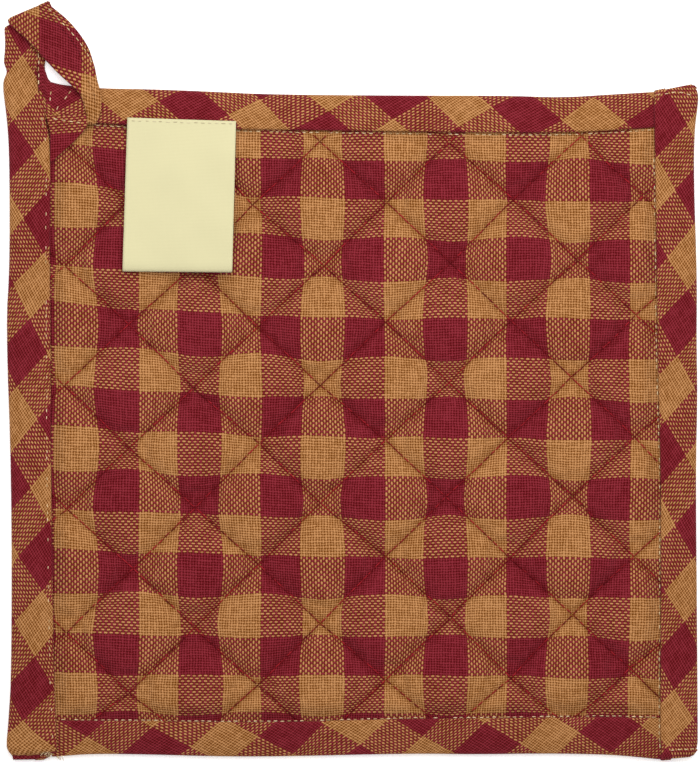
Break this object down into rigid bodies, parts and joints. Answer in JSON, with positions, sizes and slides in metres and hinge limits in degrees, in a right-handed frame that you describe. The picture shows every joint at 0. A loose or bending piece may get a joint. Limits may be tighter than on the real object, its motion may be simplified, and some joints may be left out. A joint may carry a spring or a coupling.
{
  "type": "quilted pot holder",
  "caption": "Square quilted cotton pot holder in a two-colour check, with bias-bound edges, a corner hanging loop and a blank sewn-in label.",
  "frame": {"origin": "centre of the bounding box at the flat underside, where the holder lies on a surface", "axes": "+Z out of the face that shows, the shortest extent; +Y towards the edge with the loop, the longest extent; +X to the right"},
  "size_m": [0.2054, 0.2236, 0.0087],
  "materials": {
    "check_cotton": "matt plain-woven cotton in a burgundy and tan check",
    "bias_cotton": "the same matt cotton cut on the bias",
    "label_ribbon": "soft cream woven ribbon with a slight sheen"
  },
  "bodies": {
    "root": {"quilted_pad": "check_cotton", "binding_top": "bias_cotton", "binding_bottom": "bias_cotton", "binding_right": "bias_cotton", "binding_left": "bias_cotton", "hanging_loop": "bias_cotton", "label": "label_ribbon"}
  },
  "joints": []
}
